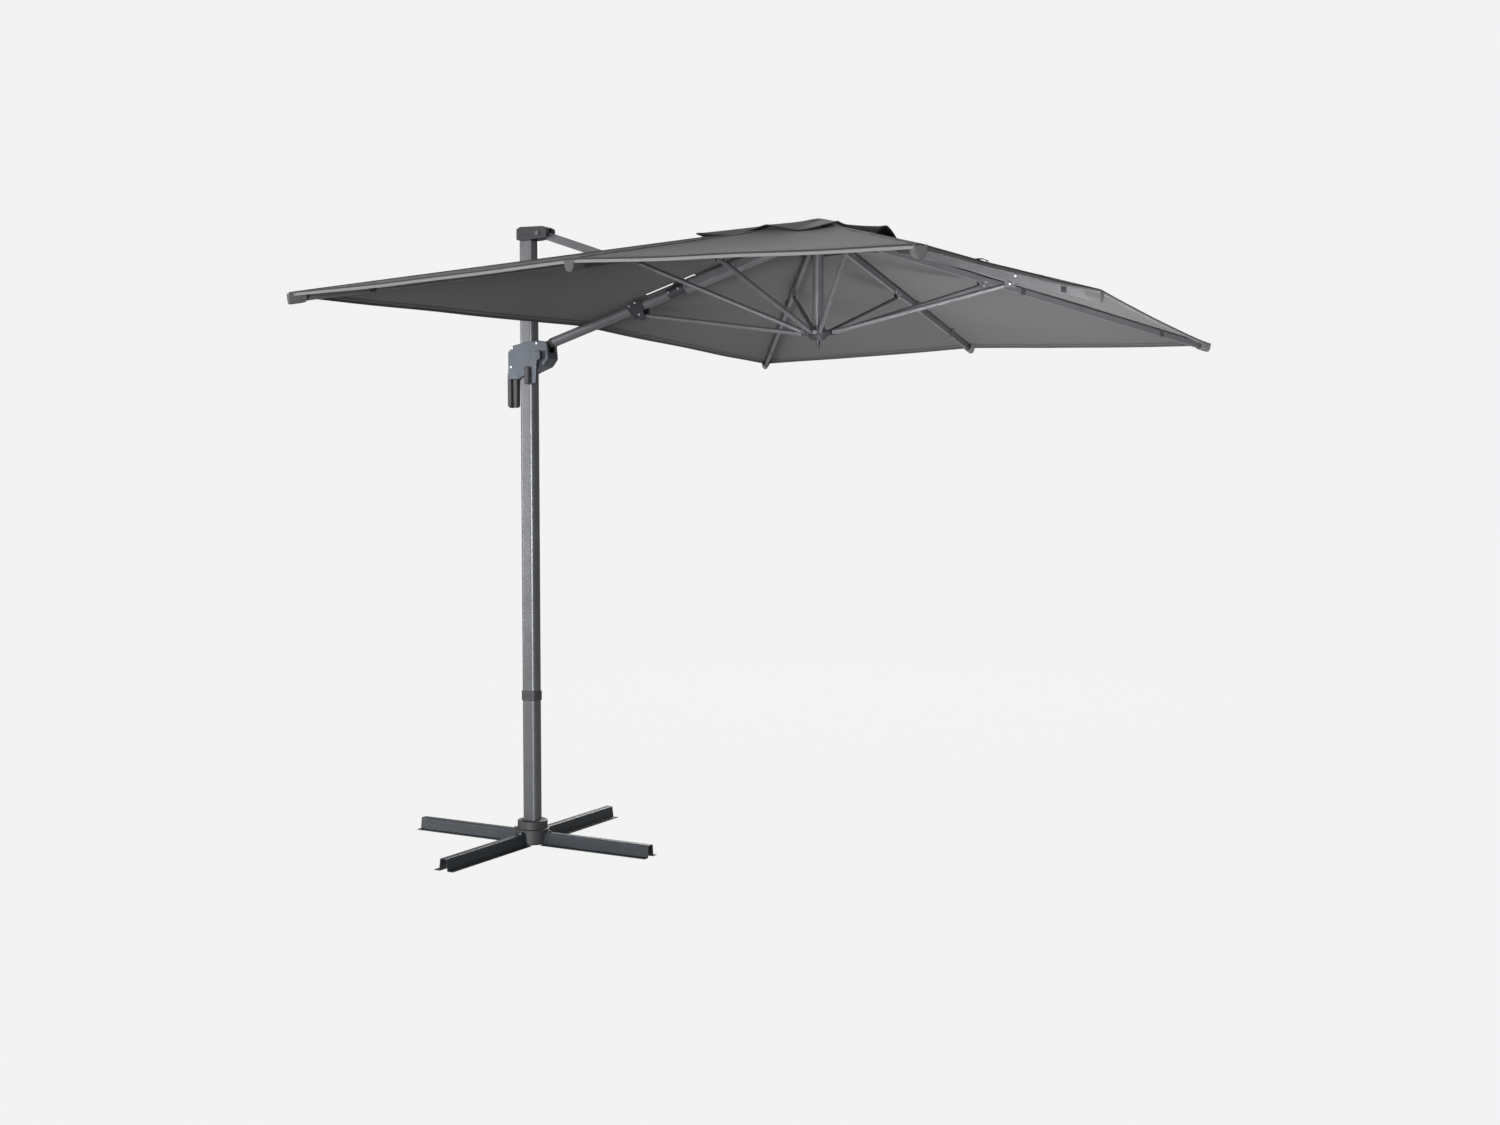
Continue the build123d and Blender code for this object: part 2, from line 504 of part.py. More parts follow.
# ---------------------------------------------------------------- ribs, their fittings and struts
TIP_CAP = 46
for name, (azimuth, reach, tip_z, pivot_z, width, height) in RIBS.items():
    start = (HINGE_R, HUB_Z)
    end = (reach, tip_z)
    length = hypot(end[0] - start[0], end[1] - start[1])
    slope = atan2(end[1] - start[1], end[0] - start[0])
    rib = box_tube(26, length - 8, width, height, 1.5)
    rib += block(26, 44, 1 - width / 2, width / 2 - 1, 1 - height / 2, height / 2 - 1)
    rib += flat_eye(0, 1, RIB_EYE, EYE_R, PIN_R + RUNNING_GAP, 30)

    dx = STRUT_PIVOT_R - start[0]
    dz = pivot_z - start[1]
    along = dx * cos(slope) + dz * sin(slope)
    above = dz * cos(slope) - dx * sin(slope)
    cheeks = cross_pin(along, above, PIN_R, -width / 2 - 3.5, width / 2 + 3.5)
    for side in (-1, 1):
        y0, y1 = sorted((side * width / 2, side * (width / 2 + 2)))
        cheeks += plate(
            [(along - 32, height / 2 - 2), (along + 26, height / 2 - 2), (along + 26, -height / 2 + 2),
             (along + 9, above - 9), (along - 9, above - 9), (along - 32, -height / 2 + 4)],
            y0, y1, 3,
        )
        if width > 2 * STRUT_EYE:
            cheeks += cross_pin(along, above, 8, *sorted((side * (STRUT_EYE / 2 + 0.3), side * width / 2)))
        cheeks += cross_pin(along, above, 5, *sorted((side * (width / 2 + 1.9), side * (width / 2 + 3.6))))
    cap = block(length - 7.9, length, -width / 2 - 2, width / 2 + 2, -height / 2 - 2, height / 2 + 2)
    cap = fillet(cap.edges(), 1.5) + block(
        length - TIP_CAP, length - 4, 1.6 - width / 2, width / 2 - 1.6, 1.6 - height / 2, height / 2 - 1.6
    )
    rib_group = Compound(children=[rib, cheeks, cap])
    parts[f"rib_{name}"] = around(swing(rib_group, start, end), azimuth)

    upper = (STRUT_PIVOT_R, pivot_z)
    lower = (HINGE_R, RUNNER_Z)
    strut = round_bar(hypot(upper[0] - lower[0], upper[1] - lower[1]), STRUT_R, 22)
    parts[f"strut_{name}"] = around(swing(strut, lower, upper), azimuth)

lower = (HUB_X - HINGE_R, RUNNER_Z)
strut = round_bar(hypot(lower[0] - BOOM_STRUT_PIVOT[0], lower[1] - BOOM_STRUT_PIVOT[1]), STRUT_R, 22)
parts["strut_inner"] = swing(strut, lower, BOOM_STRUT_PIVOT)

# ---------------------------------------------------------------- canopy, one gore to each rib
# Each gore is folded along its rib, and meets its neighbours on the lines that halve the angles between ribs.
corners = [(name, rib[0], rib[1], rib[2] + rib[5] / 2 + FABRIC_GAP) for name, rib in RIBS.items()]
corners.insert(4, ("inner", 180, CANOPY_HALF_X, INNER_EDGE_Z))
PEAK = Vector(HUB_X, 0, HUB_Z + PEAK_RISE)


def tip_point(corner):
    _, azimuth, reach, z = corner
    return Vector(HUB_X + reach * cos(radians(azimuth)), reach * sin(radians(azimuth)), z)


def sheet(points):
    """A sheet of cloth thickness under a flat outline."""
    return extrude(make_face(Polyline(*points, close=True)), amount=FABRIC, dir=(0, 0, -1))


def gore(before, at, after, inner_share):
    """The two flat triangles either side of a rib, cut back to leave the vent."""
    ridge_top = PEAK + (tip_point(at) - PEAK) * inner_share
    halves = []
    for neighbour in (before, after):
        share = at[2] / (at[2] + neighbour[2])
        middle = tip_point(at) * (1 - share) + tip_point(neighbour) * share
        middle_top = PEAK + (middle - PEAK) * inner_share
        halves.append(sheet([ridge_top, tip_point(at), middle, middle_top]))
    return halves[0] + halves[1]


for i, corner in enumerate(corners):
    parts[f"canopy_{corner[0]}"] = gore(
        corners[i - 1], corner, corners[(i + 1) % len(corners)], VENT_SHARE
    )
# the slit that the upper link comes down through
parts["canopy_inner"] -= block(LINK_PIVOT_X - 150, LINK_PIVOT_X + 60, -20, 20, 1900, 2300)

lift = Vector(0, 0, VENT_CAP_LIFT)
vent = None
for i, corner in enumerate(corners):
    rim = [PEAK + (tip_point(c) - PEAK) * VENT_CAP_SHARE for c in (corner, corners[(i + 1) % len(corners)])]
    flap = sheet([PEAK + lift, rim[0] + lift, rim[1] + lift])
    vent = flap if vent is None else vent + flap
parts["vent_cap"] = vent

# ---------------------------------------------------------------- one file to each node
for name, shape in parts.items():
    export_step(shape, f"parts/{name}.step")
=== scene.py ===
import json
import math

import bpy
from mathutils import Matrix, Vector, noise


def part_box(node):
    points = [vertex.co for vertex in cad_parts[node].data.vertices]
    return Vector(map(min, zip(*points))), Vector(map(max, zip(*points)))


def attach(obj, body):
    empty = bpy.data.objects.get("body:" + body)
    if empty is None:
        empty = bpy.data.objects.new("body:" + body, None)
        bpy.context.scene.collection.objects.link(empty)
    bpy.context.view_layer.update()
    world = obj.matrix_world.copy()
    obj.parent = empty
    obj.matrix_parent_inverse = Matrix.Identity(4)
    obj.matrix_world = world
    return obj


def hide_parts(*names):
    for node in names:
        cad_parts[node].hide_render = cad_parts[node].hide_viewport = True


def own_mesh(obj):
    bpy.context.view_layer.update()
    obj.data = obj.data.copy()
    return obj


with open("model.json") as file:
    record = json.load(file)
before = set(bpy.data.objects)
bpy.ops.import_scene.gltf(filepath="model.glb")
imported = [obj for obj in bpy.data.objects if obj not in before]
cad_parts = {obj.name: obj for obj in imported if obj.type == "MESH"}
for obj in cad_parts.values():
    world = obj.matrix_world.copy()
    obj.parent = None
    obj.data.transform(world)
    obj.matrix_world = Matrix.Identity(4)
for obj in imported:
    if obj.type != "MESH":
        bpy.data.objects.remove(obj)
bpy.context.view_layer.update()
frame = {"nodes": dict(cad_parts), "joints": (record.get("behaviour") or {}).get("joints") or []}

# ---------------------------------------------------------------- sizes of the soft parts, in metres
CAP_LIFT = 0.010  # the vent cap's peak above the canopy's
VENT_SHARE = 0.20  # size of the hole in the canopy's middle, as a share of the canopy
CAP_SHARE = 0.26
CAP_START = 0.060  # the radius where the cap's panels start, under the crown patch
CAP_LOBE = 0.013  # how far the cap's hem stands up over a rib
CAP_LOBE_OUTER = 0.040  # it billows most over the outer rib
CAP_TOUCH = 0.003  # the cap's hem above the canopy half way between two ribs
CROWN_RADIUS = 0.096
CROWN_HOLE = 0.002  # the crown's innermost ring
CROWN_LIFT = 0.003  # the crown's middle above the cap
CROWN_SLOPE = 0.20
CROWN_CURVE = 0.6
SAG = 0.013  # how far a panel hangs in its middle
HEM_SAG = 0.005
HEM_SCALLOP = 0.006  # how far the hem is cut in between two ribs, as a share of its reach
PANEL_FOLD = 0.0010  # height of the soft folds that run in from the hem
RIPPLE = 0.0030
RIPPLE_SCALE = 3.1
CLOTH = 0.0012
TAPE = 0.0008
WEBBING = 0.0014
CENTRE_STRIP = 0.011  # half width of the strip along each rib, and of the slit for the upper link
SLIT_BEFORE = 0.150  # the slit's ends, from the pivot of the upper link
SLIT_AFTER = 0.060
SLIT_ROW_CLEAR = 0.01  # the panel has no other row this near to one of the slit's ends, as a share
SLIT_BINDING = 0.014
BINDING_LIFT = 0.0016  # the middle of the binding's thickness above the cloth's top
RIB_TAPE_HALF = 0.009
RIB_TAPE_LIFT = 0.0014
RIB_TAPE_END = 0.995
INNER_TAPE_END = 0.99
INNER_TAPE_GAP = 0.02  # between the slit's ends and the tape, as a share
POCKET_LENGTH = 0.048
POCKET_FLARE = 0.006
TIE_HALF = 0.009
TIE_RADII = (0.88, 0.25)  # one tie this far from the hub, and one this far from the rib's tip
TIE_CLEAR = 0.2  # a rib too short to keep its ties this far apart has only the first
STRAP_HALF = 0.009
STRAP_SIDE = 0.42  # where along the hem the closing strap is sewn
STRAP_SLOPE = 0.22
THIN_EDGE = math.radians(50)  # edges that turn more than this stay sharp
TIP_SEARCH = 0.01  # a tip's points are this near to it in plan
END_SEARCH = 0.012  # length of a rib's end cap that is measured
NEAR_PEAK = 0.02  # offsets across a rib stop narrowing at this share

# rib name: on which side of the canopy it ends, in X and in Y
SIDES = {
    "outer": (1, 0), "outer_right": (1, 1), "right": (0, 1), "inner_right": (-1, 1),
    "inner": (-1, 0), "inner_left": (-1, -1), "left": (0, -1), "outer_left": (1, -1),
}
NAMES = list(SIDES)
BODY = {name: "boom" if name == "inner" else f"rib_{name}" for name in NAMES}
UP = Vector((0, 0, 1))


# ---------------------------------------------------------------- places read from the frame
def middle(node):
    low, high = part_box(node)
    return (low + high) / 2


def corners_near(node, place, distance):
    return [v.co for v in frame["nodes"][node].data.vertices if (v.co.xy - place).length < distance]


pivots = {joint["name"]: Vector(joint["pos_m"]) for joint in frame["joints"]}
hub = Vector((middle("hub_post").x, 0, 0))
HALF_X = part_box("canopy_outer")[1].x - hub.x
HALF_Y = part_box("canopy_right")[1].y
peak = Vector((hub.x, 0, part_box("vent_cap")[1].z - CAP_LIFT))


def cloth_tip(name):
    place = Vector((hub.x + SIDES[name][0] * HALF_X, SIDES[name][1] * HALF_Y))
    return max(corners_near(f"canopy_{name}", place, TIP_SEARCH), key=lambda p: p.z).copy()


tips = [cloth_tip(name) for name in NAMES]


def heading(rib):
    """Unit vectors in plan: out along a rib, and across it."""
    out = (tips[rib] - hub) * Vector((1, 1, 0))
    out.normalize()
    return out, UP.cross(out)


def plan_reach(point):
    return (point.xy - hub.xy).length


def rib_end(rib):
    """The middle of a rib's end cap, its half width and its half height."""
    out, across = heading(rib)
    vertices = [v.co for v in frame["nodes"][BODY[NAMES[rib]]].data.vertices]
    far = max((p - hub).dot(out) for p in vertices)
    cap = [p for p in vertices if (p - hub).dot(out) > far - END_SEARCH]
    half_width = max(abs((p - hub).dot(across)) for p in cap)
    low = min(p.z for p in cap)
    high = max(p.z for p in cap)
    return hub + out * far + UP * (low + high) / 2, half_width, (high - low) / 2


# ---------------------------------------------------------------- the spread cloth as a surface
def beside(rib, side):
    """The tip of the next rib on that side, and how far along the hem to it this rib's panel reaches."""
    neighbour = tips[(rib + (1 if side >= 0 else -1)) % len(tips)]
    reach = plan_reach(tips[rib])
    return neighbour, reach / (reach + plan_reach(neighbour))


def cloth_point(rib, side, share, lift=0.0):
    """A point of the cloth. Side is 0 on the rib, and -1 and 1 on the lines that halve the angles to the ribs
    before and after it; share is 0 at the peak and 1 at the hem."""
    neighbour, panel_share = beside(rib, side)
    across = abs(side) * panel_share
    bow = 4 * across * (1 - across)
    point = peak.lerp(tips[rib].lerp(neighbour, across), share * (1 - HEM_SCALLOP * bow))
    folds = PANEL_FOLD * share**4 * math.cos(4 * math.pi * across)
    ripple = RIPPLE * noise.noise(Vector((point.x, point.y, 0.5)) * RIPPLE_SCALE)
    sag = SAG * math.sin(math.pi * min(share, 1)) + HEM_SAG * share**2
    point.z += bow * (folds + ripple - sag) + lift
    return point


def side_width(rib, side):
    """The length of the panel's hem on that side of the rib."""
    neighbour, panel_share = beside(rib, side)
    return (tips[rib] - neighbour).length * panel_share


def near_rib(rib, offset, share, lift=0.0):
    """A point of the cloth at a distance across from the rib, measured in metres."""
    return cloth_point(rib, offset / (side_width(rib, offset) * max(share, NEAR_PEAK)), share, lift)


def spread(low, high, count):
    return [low + (high - low) * k / count for k in range(count + 1)]


# ---------------------------------------------------------------- mesh helpers
def mesh_object(name, points, faces, uvs):
    mesh = bpy.data.meshes.new(name)
    mesh.from_pydata(points, [], faces)
    layer = mesh.uv_layers.new(name="metres")
    for loop in mesh.loops:
        layer.data[loop.index].uv = uvs[loop.vertex_index]
    mesh.shade_smooth()
    piece = bpy.data.objects.new(name, mesh)
    bpy.context.scene.collection.objects.link(piece)
    return piece


def lengths(points):
    """The distance run along a line of points, at each of them."""
    run = [0.0]
    for a, b in zip(points, points[1:]):
        run.append(run[-1] + (b - a).length)
    return run


def applied(piece):
    """Applies the piece's modifiers, and keeps its thin edges sharp."""
    shape = piece.evaluated_get(bpy.context.evaluated_depsgraph_get())
    mesh = bpy.data.meshes.new_from_object(shape)
    mesh.name = piece.name
    piece.modifiers.clear()
    piece.data = mesh
    mesh.set_sharp_from_angle(angle=THIN_EDGE)
    return piece


def sheet(name, rows, thickness, material, smooth=0, uv=None, skip=None, offset=-1.0, trim=None):
    """A quad sheet through rows of points, given its thickness. Trim is a material and the rows that it covers.
    Skip says which faces to leave out, and smooth is a number of subdivisions."""
    columns = len(rows[0])
    along = lengths(rows[len(rows) // 2])
    down = lengths([row[columns // 2] for row in rows])
    points = [point for row in rows for point in row]
    if uv:
        uvs = [uv(point) for point in points]
    else:
        uvs = [(along[c], down[r]) for r in range(len(rows)) for c in range(columns)]
    faces = []
    for r in range(len(rows) - 1):
        for c in range(columns - 1):
            if not (skip and skip(r, c)):
                first = r * columns + c
                faces.append((first, first + columns, first + columns + 1, first + 1))
    piece = mesh_object(name, points, faces, uvs)
    if smooth:
        rounding = piece.modifiers.new("rounding", "SUBSURF")
        rounding.levels = smooth
        rounding.render_levels = smooth
    solid = piece.modifiers.new("thickness", "SOLIDIFY")
    solid.thickness = thickness
    solid.offset = offset
    piece.data.materials.append(material)
    if trim:
        piece.data.materials.append(trim[0])
        for index, face in enumerate(piece.data.polygons):
            face.material_index = int(index // (columns - 1) in trim[1])
    return applied(piece)


def settle(piece, rib):
    """Rides the piece on its rib, with a mesh of its own."""
    _, across = heading(rib)
    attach(piece, BODY[NAMES[rib]])
    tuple(across)
    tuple(tips[rib])
    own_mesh(piece)


def fixed(piece, body):
    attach(piece, body)


# ---------------------------------------------------------------- material helpers
def add(tree, kind, settings=None, inputs=None):
    """A shader node with its settings and inputs. An input is a value or another node's output."""
    node = tree.nodes.new(kind)
    for key, value in (settings or {}).items():
        setattr(node, key, value)
    for key, value in (inputs or {}).items():
        if isinstance(value, bpy.types.NodeSocket):
            tree.links.new(value, node.inputs[key])
        else:
            node.inputs[key].default_value = value
    return node


def new_material(name):
    material = bpy.data.materials.new(name)
    material.use_nodes = True
    return material, material.node_tree, material.node_tree.nodes["Principled BSDF"]


def shade(colour, factor):
    return tuple(min(1.0, channel * factor) for channel in colour) + (1.0,)


def mixed(tree, factor, low, high):
    return add(tree, "ShaderNodeMix", {"data_type": "RGBA"}, {0: factor, 6: low, 7: high}).outputs[2]


def remap(tree, value, from_low, from_high, to_low, to_high):
    limits = {"From Min": from_low, "From Max": from_high, "To Min": to_low, "To Max": to_high}
    return add(tree, "ShaderNodeMapRange", inputs={"Value": value, **limits}).outputs["Result"]


def maths(tree, operation, *values):
    inputs = dict(enumerate(values))
    return add(tree, "ShaderNodeMath", {"operation": operation}, inputs).outputs[0]


def clouds(tree, place, scale, detail=3.0):
    inputs = {"Vector": place, "Scale": scale, "Detail": detail}
    return add(tree, "ShaderNodeTexNoise", inputs=inputs).outputs["Fac"]


def rounded_edges(tree, radius):
    """The normal with its edges rounded, and a mask that is 1 along those edges."""
    bevel = add(tree, "ShaderNodeBevel", {"samples": 4}, {"Radius": radius}).outputs["Normal"]
    true = add(tree, "ShaderNodeNewGeometry").outputs["Normal"]
    turned = add(tree, "ShaderNodeVectorMath", {"operation": "DOT_PRODUCT"}, {0: bevel, 1: true})
    return bevel, remap(tree, turned.outputs["Value"], 0.99, 0.82, 0.0, 1.0)


def hard_finish(name, colour, metallic, roughness, grain, bump, wear, edge=0.0012):
    """Powder coat, cast metal or moulded plastic: a fine grain, soft mottling and edges rubbed lighter.
    Grain is the noise scale of the specks, and edge the radius that edges are rounded to."""
    material, tree, shader = new_material(name)
    place = add(tree, "ShaderNodeTexCoord").outputs["Object"]
    mottle = clouds(tree, place, 14.0, 5.0)
    specks = clouds(tree, place, grain, 2.0)
    scuffs = clouds(tree, place, 70.0, 4.0)
    normal, edges = rounded_edges(tree, edge)
    toned = mixed(tree, remap(tree, mottle, 0.3, 0.7, 0.0, 1.0), shade(colour, 0.88), shade(colour, 1.12))
    flecked = mixed(tree, remap(tree, specks, 0.58, 0.75, 0.0, 0.6), toned, shade(colour, 1.6))
    rubbed = maths(tree, "MULTIPLY", edges, remap(tree, scuffs, 0.45, 0.65, 0.15 * wear, wear))
    worn = mixed(tree, rubbed, flecked, shade(colour, 2.6))
    rough = remap(tree, scuffs, 0.2, 0.8, roughness - 0.06, roughness + 0.08)
    relief = {"Strength": bump, "Distance": 0.0004, "Height": specks, "Normal": normal}
    shader.inputs["Metallic"].default_value = metallic
    tree.links.new(worn, shader.inputs["Base Color"])
    tree.links.new(rough, shader.inputs["Roughness"])
    tree.links.new(add(tree, "ShaderNodeBump", inputs=relief).outputs["Normal"], shader.inputs["Normal"])
    return material


def woven(name, colour, threads, bump, melange=0.16, glow=0.0):
    """A plain weave over UVs in metres: threads per metre, with a melange of lighter and darker yarns, and
    painted shade where the yarns dip between each other.
    """
    material, tree, shader = new_material(name)
    coordinates = add(tree, "ShaderNodeTexCoord")
    place = coordinates.outputs["UV"]
    wave_scale = threads * math.pi / 10
    yarns = [
        add(
            tree, "ShaderNodeTexWave", {"wave_type": "BANDS", "bands_direction": direction},
            {"Vector": place, "Scale": wave_scale},
        ).outputs["Fac"]
        for direction in "XY"
    ]
    over = add(tree, "ShaderNodeTexChecker", inputs={"Vector": place, "Scale": threads}).outputs["Fac"]
    height = add(tree, "ShaderNodeMix", inputs={0: over, 2: yarns[0], 3: yarns[1]}).outputs[0]
    flecks = clouds(tree, place, threads * 0.35, 2.0)
    patches = clouds(tree, coordinates.outputs["Object"], 2.2, 4.0)
    fleck_mask = remap(tree, flecks, 0.35, 0.65, 0, 1)
    base = mixed(tree, fleck_mask, shade(colour, 1 - melange), shade(colour, 1 + melange))
    faded = mixed(tree, remap(tree, patches, 0.35, 0.65, 0.0, 0.35), base, shade(colour, 1.12))
    # painted shade: the low places between the yarns are coloured darker
    shaded_gaps = mixed(tree, remap(tree, height, 0.0, 0.35, 0.35, 0.0), faded, shade(colour, 0.55))
    tree.links.new(shaded_gaps, shader.inputs["Base Color"])
    relief = {"Strength": bump, "Distance": 0.0002, "Height": height}
    normal = add(tree, "ShaderNodeBump", inputs=relief).outputs["Normal"]
    tree.links.new(normal, shader.inputs["Normal"])
    shader.inputs["Roughness"].default_value = 0.86
    shader.inputs["Specular IOR Level"].default_value = 0.22
    shader.inputs["Sheen Weight"].default_value = 0.12
    shader.inputs["Sheen Roughness"].default_value = 0.5
    if glow:
        through = add(tree, "ShaderNodeBsdfTranslucent", inputs={"Color": shaded_gaps})
        layers = {0: glow, 1: shader.outputs[0], 2: through.outputs[0]}
        blend = add(tree, "ShaderNodeMixShader", inputs=layers)
        tree.links.new(blend.outputs[0], tree.nodes["Material Output"].inputs["Surface"])
    return material


def stitched(name, colour, width, threads=900, thread=2.2, inset=0.0028, pitch=0.0045):
    """Woven tape with a row of stitches along each edge. U runs along the tape, and V across its width."""
    material = woven(name, colour, threads, 0.4)
    tree = material.node_tree
    shader = tree.nodes["Principled BSDF"]
    uv = add(tree, "ShaderNodeSeparateXYZ", inputs={0: add(tree, "ShaderNodeTexCoord").outputs["UV"]})
    dash = maths(tree, "LESS_THAN", maths(tree, "FRACT", maths(tree, "DIVIDE", uv.outputs[0], pitch)), 0.68)
    rows = [maths(tree, "COMPARE", uv.outputs[1], at, 0.0006) for at in (inset, width - inset)]
    mask = maths(tree, "MULTIPLY", dash, maths(tree, "MAXIMUM", *rows))
    plain = shader.inputs["Base Color"].links[0].from_socket
    tree.links.new(mixed(tree, mask, plain, shade(colour, thread)), shader.inputs["Base Color"])
    return material


# ---------------------------------------------------------------- materials
ANTHRACITE = (0.112, 0.115, 0.122)
CHARCOAL = (0.047, 0.046, 0.048)
SEAM_GREY = (0.034, 0.034, 0.036)
# painted highlight: a lighter grey for the hem's folded lip, which is also used on the slit's binding
EDGE_HIGHLIGHT_GREY = (0.165, 0.164, 0.162)
CAST_GREY = (0.032, 0.034, 0.038)
BASE_BLACK = (0.026, 0.031, 0.037)
CARRIAGE_BLUE = (0.070, 0.078, 0.094)
PLASTIC_BLACK = (0.030, 0.031, 0.034)
BEARING_GREY = (0.16, 0.16, 0.155)
STEEL = (0.55, 0.56, 0.58)
DARK_STEEL = (0.11, 0.112, 0.118)
# painted shade: the vent cap's cloth is coloured far darker than the canopy's, for the shade in the gap under
# the cap
CAP_SHADE_DARK = (0.016, 0.016, 0.017)
POCKET_GREY = (0.078, 0.077, 0.077)
WEBBING_BLACK = (0.020, 0.020, 0.021)
THREADS = 850  # of the cloth, per metre

powder_coat = hard_finish(
    "powder coat", ANTHRACITE, metallic=0.45, roughness=0.33, grain=850.0, bump=0.10, wear=0.30
)
cast_dark = hard_finish(
    "cast and painted", CAST_GREY, metallic=0.40, roughness=0.38, grain=520.0, bump=0.22, wear=0.35
)
base_coat = hard_finish(
    "base powder coat", BASE_BLACK, metallic=0.30, roughness=0.42, grain=620.0, bump=0.25, wear=0.45
)
carriage_coat = hard_finish(
    "carriage shell", CARRIAGE_BLUE, metallic=0.60, roughness=0.34, grain=900.0, bump=0.10, wear=0.35,
    edge=0.002,
)
black_plastic = hard_finish(
    "moulded plastic", PLASTIC_BLACK, metallic=0.0, roughness=0.50, grain=1400.0, bump=0.30, wear=0.25
)
bearing_plastic = hard_finish(
    "bearing plastic", BEARING_GREY, metallic=0.0, roughness=0.45, grain=700.0, bump=0.12, wear=0.10
)
bright_steel = hard_finish(
    "rivet steel", STEEL, metallic=0.9, roughness=0.30, grain=600.0, bump=0.05, wear=0.20, edge=0.0006
)
dark_steel = hard_finish(
    "blackened steel", DARK_STEEL, metallic=0.8, roughness=0.34, grain=600.0, bump=0.08, wear=0.40,
    edge=0.0006,
)
canopy_cloth = woven("canopy cloth", CHARCOAL, THREADS, bump=0.35, glow=0.03)
# painted shade: the vent cap and its crown get this darker cloth
shaded_cap_cloth = woven("vent cap cloth, painted shade", CAP_SHADE_DARK, THREADS, bump=0.35)
seam_tape = stitched("seam tape", SEAM_GREY, width=2 * RIB_TAPE_HALF)
hem_cloth = woven("hem cloth", SEAM_GREY, THREADS, bump=0.4)
# painted highlight along the hem's lip and the slit's binding
edge_highlight_tape = woven("hem and slit edge tape, painted highlight", EDGE_HIGHLIGHT_GREY, THREADS, bump=0.4)
pocket_cloth = woven("pocket cloth", POCKET_GREY, 600, bump=0.6, melange=0.22)
webbing = woven("webbing", WEBBING_BLACK, 420, bump=0.8)

CAD_FINISH = (
    (powder_coat, (
        "mast_lower", "mast_upper", "upper_link", "boom_tube", "boom_beam", "hub_post", "rib_", "strut_",
    )),
    (cast_dark, (
        "mast_head", "boom_clamp", "boom_saddle", "boom_tip_eye", "boom_root_eye", "top_hub", "runner",
    )),
    (base_coat, ("base_arms", "foot_spigot")),
    (carriage_coat, ("carriage_shell", "crank_arm")),
    (black_plastic, (
        "swivel_collar", "foot_cover", "mast_joint_ring", "handle_grip", "crank_grip", "release_lever",
    )),
    (bearing_plastic, (
        "swivel_bushes", "mast_joint_sleeve", "carriage_slider", "cord_drum", "boom_joint_core",
    )),
    (bright_steel, ("boom_fasteners", "carriage_fasteners", "crank_shaft")),
    (dark_steel, ("base_bolts", "mast_head_pin", "hub_hinge_pins")),
)


def finish_of(node):
    """The finish whose longest matching name fits the node."""
    fits = []
    for finish, starts in CAD_FINISH:
        fits += [(len(start), finish) for start in starts if node.startswith(start)]
    return max(fits, key=lambda fit: fit[0])[1] if fits else None


for node_name, node_object in frame["nodes"].items():
    finish = finish_of(node_name)
    if finish:
        node_object.data.materials.clear()
        node_object.data.materials.append(finish)

# ---------------------------------------------------------------- the eight panels of the canopy
inner = NAMES.index("inner")
slit = sorted((hub.x - pivots["arm_boom"].x + edge) / HALF_X for edge in (-SLIT_AFTER, SLIT_BEFORE))


def panel_sides(rib, share, count=12):
    """Places across a panel, with one column at the edge of the strip along the rib on each side."""
    strips = [CENTRE_STRIP / (side_width(rib, sign) * share) for sign in (-1, 1)]
    left = [-s for s in reversed(spread(strips[0], 1, count))]
    return left + [0.0] + spread(strips[1], 1, count)


def in_metres(rib):
    out, across = heading(rib)
    return lambda point: ((point - hub).dot(out), (point - hub).dot(across))


def add_panel(rib, count=34):
    name = NAMES[rib]
    shares = spread(VENT_SHARE, 1, count)
    skip = None
    if rib == inner:
        shares = sorted([s for s in shares if all(abs(s - edge) > SLIT_ROW_CLEAR for edge in slit)] + slit)
        first, last = shares.index(slit[0]), shares.index(slit[1])
        centre = len(panel_sides(rib, 1)) // 2

        def skip(row, column):
            return first <= row < last and column in (centre - 1, centre)

    rows = [[cloth_point(rib, side, share) for side in panel_sides(rib, share)] for share in shares]
    panel = sheet(f"cloth_{name}", rows, CLOTH, canopy_cloth, uv=in_metres(rib), skip=skip)
    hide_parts(f"canopy_{name}")
    settle(panel, rib)


# The tape along the hem folds round the edge: distance in from the edge, and height above the cloth's top.
# Its lip rows are painted lighter, a painted highlight along the fold. The vent cap's hem is narrower.
HEM_SECTION = (
    (0.026, 0.0010), (0.002, 0.0012), (-0.0010, -0.001), (-0.0016, -0.003), (-0.0018, -0.007),
    (-0.0010, -0.0105), (0.0012, -0.011), (0.0020, -0.007), (0.004, -0.0034), (0.026, -0.0030),
)
LIP_ROWS = (3, 4, 5)
CAP_HEM_SECTION = ((0.012, 0.0010), (0.001, 0.0010), (-0.0010, -0.001), (0.001, -0.0032), (0.012, -0.0028))


def add_hem(name, rib, section, surface, end, material, trim=None, count=28):
    """A tape folded round an edge of the cloth. Surface gives the cloth's point for a side and a share."""
    rows = []
    for inset, height in section:
        row = []
        for side in spread(-1, 1, count):
            reach = plan_reach(surface(side, end))
            row.append(surface(side, end * (1 - inset / reach)) + UP * height)
        rows.append(row)
    settle(sheet(name, rows, TAPE, material, offset=0.0, trim=trim), rib)


def add_rib_tape(name, rib, low, high, count=30):
    offsets = (-RIB_TAPE_HALF, -RIB_TAPE_HALF / 2, 0.0, RIB_TAPE_HALF / 2, RIB_TAPE_HALF)
    shares = spread(low, high, count)
    rows = [[near_rib(rib, offset, share, RIB_TAPE_LIFT) for share in shares] for offset in offsets]
    settle(sheet(name, rows, TAPE, seam_tape, offset=0.0), rib)


